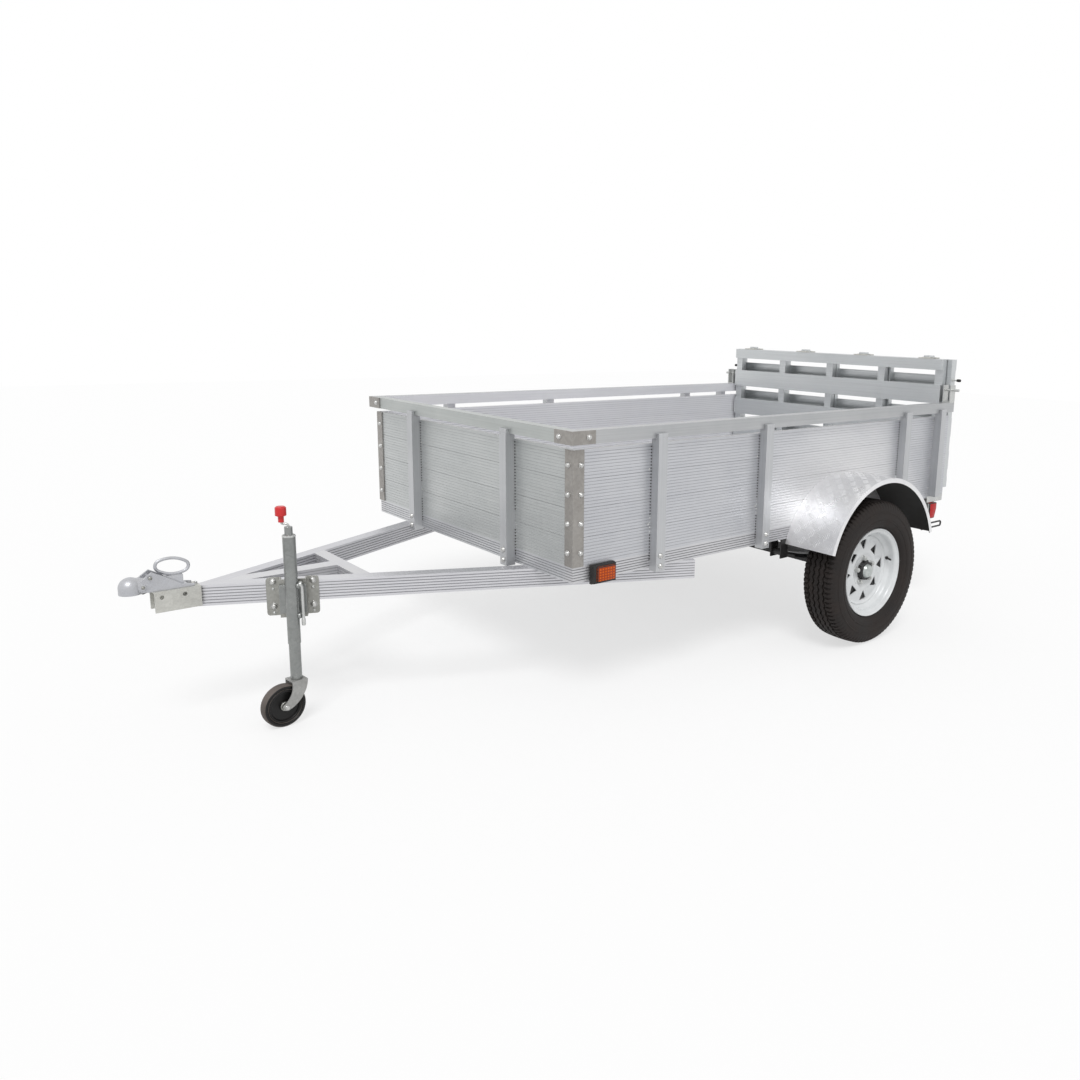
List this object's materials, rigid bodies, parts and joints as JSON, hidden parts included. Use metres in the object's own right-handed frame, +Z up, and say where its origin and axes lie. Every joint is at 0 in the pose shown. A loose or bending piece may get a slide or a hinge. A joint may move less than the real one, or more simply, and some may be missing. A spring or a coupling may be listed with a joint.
{
  "type": "utility trailer",
  "caption": "Single-axle aluminium box trailer with an A-frame drawbar, ball coupler, swivel jockey wheel and a folding two-section ramp gate.",
  "frame": {"origin": "on the floor under the middle of the whole trailer's length and width", "axes": "+X forward to the coupler, +Y to the trailer's left side, +Z up"},
  "size_m": [3.385, 1.85, 1.1535],
  "materials": {
    "reeded_aluminium": "satin, finely reeded",
    "floor_aluminium": "satin, ribbed",
    "frame_aluminium": "mill finish, grooved",
    "rail_aluminium": "satin",
    "ramp_aluminium": "satin",
    "plated_steel": "zinc plated",
    "galvanised_steel": "galvanised",
    "coupler_paint": "silver paint",
    "tread_plate": "bright tread plate",
    "black_steel": "black paint",
    "wheel_paint": "gloss white",
    "hub_steel": "machined",
    "tyre_rubber": "matt",
    "castor_rubber": "matt",
    "red_plastic": "gloss",
    "red_lens": "clear lens",
    "amber_lens": "clear lens"
  },
  "bodies": {
    "chassis": {"side_panel_left": "reeded_aluminium", "side_panel_right": "reeded_aluminium", "front_panel": "reeded_aluminium", "floor_boards": "floor_aluminium", "frame_rail_left": "frame_aluminium", "frame_rail_right": "frame_aluminium", "frame_rail_front": "frame_aluminium", "frame_rail_rear": "frame_aluminium", "drawbar_left": "frame_aluminium", "drawbar_right": "frame_aluminium", "drawbar_cross": "frame_aluminium", "floor_crossmembers": "frame_aluminium", "top_rail_left": "rail_aluminium", "top_rail_right": "rail_aluminium", "top_rail_front": "rail_aluminium", "posts_left": "rail_aluminium", "posts_right": "rail_aluminium", "posts_front": "rail_aluminium", "corner_angles": "plated_steel", "hitch_channel": "plated_steel", "lamp_brackets": "plated_steel", "ramp_latches": "plated_steel", "jack_bracket": "galvanised_steel", "coupler": "coupler_paint", "coupler_handle": "coupler_paint", "fender_left": "tread_plate", "fender_right": "tread_plate", "axle": "black_steel", "leaf_springs": "black_steel", "spring_hangers": "black_steel", "tail_lamps": "red_lens", "marker_lamps": "amber_lens"},
    "wheel_left": {"tyre_left": "tyre_rubber", "rim_left": "wheel_paint", "hub_left": "hub_steel"},
    "wheel_right": {"tyre_right": "tyre_rubber", "rim_right": "wheel_paint", "hub_right": "hub_steel"},
    "ramp_lower": {"ramp_lower": "ramp_aluminium"},
    "ramp_upper": {"ramp_upper": "ramp_aluminium"},
    "jack_tube": {"jack_tube": "galvanised_steel", "jack_crank": "red_plastic"},
    "jack_leg": {"jack_leg": "galvanised_steel"},
    "jack_castor": {"jack_fork": "galvanised_steel"},
    "jack_wheel": {"jack_wheel": "castor_rubber"}
  },
  "joints": [
    {"name": "wheel_left_spin", "type": "hinge", "parent": "chassis", "child": "wheel_left", "pos_m": [-0.8205, 0.834, 0.297], "axis": [0, 1, 0], "continuous": true},
    {"name": "wheel_right_spin", "type": "hinge", "parent": "chassis", "child": "wheel_right", "pos_m": [-0.8205, -0.834, 0.297], "axis": [0, 1, 0], "continuous": true},
    {"name": "ramp_lower_fold", "type": "hinge", "parent": "chassis", "child": "ramp_lower", "pos_m": [-1.656, 0, 0.4915], "axis": [0, -1, 0], "range_deg": [0, 113]},
    {"name": "ramp_upper_fold", "type": "hinge", "parent": "ramp_lower", "child": "ramp_upper", "pos_m": [-1.65, 0, 1.1465], "axis": [0, 1, 0], "range_deg": [0, 180]},
    {"name": "jack_swing", "type": "hinge", "parent": "chassis", "child": "jack_tube", "pos_m": [1.24462, 0.16104, 0.398], "axis": [0.4336, 0.9011, 0], "range_deg": [0, 90]},
    {"name": "jack_screw", "type": "slide", "parent": "jack_tube", "child": "jack_leg", "axis": [0, 0, 1], "range_m": [-0.12, 0.1]},
    {"name": "castor_swivel", "type": "hinge", "parent": "jack_leg", "child": "jack_castor", "pos_m": [1.25893, 0.19078, 0.145], "axis": [0, 0, 1], "continuous": true},
    {"name": "jack_wheel_spin", "type": "hinge", "parent": "jack_castor", "child": "jack_wheel", "pos_m": [1.30567, 0.19569, 0.068], "axis": [-0.1045, 0.9945, 0], "continuous": true}
  ]
}
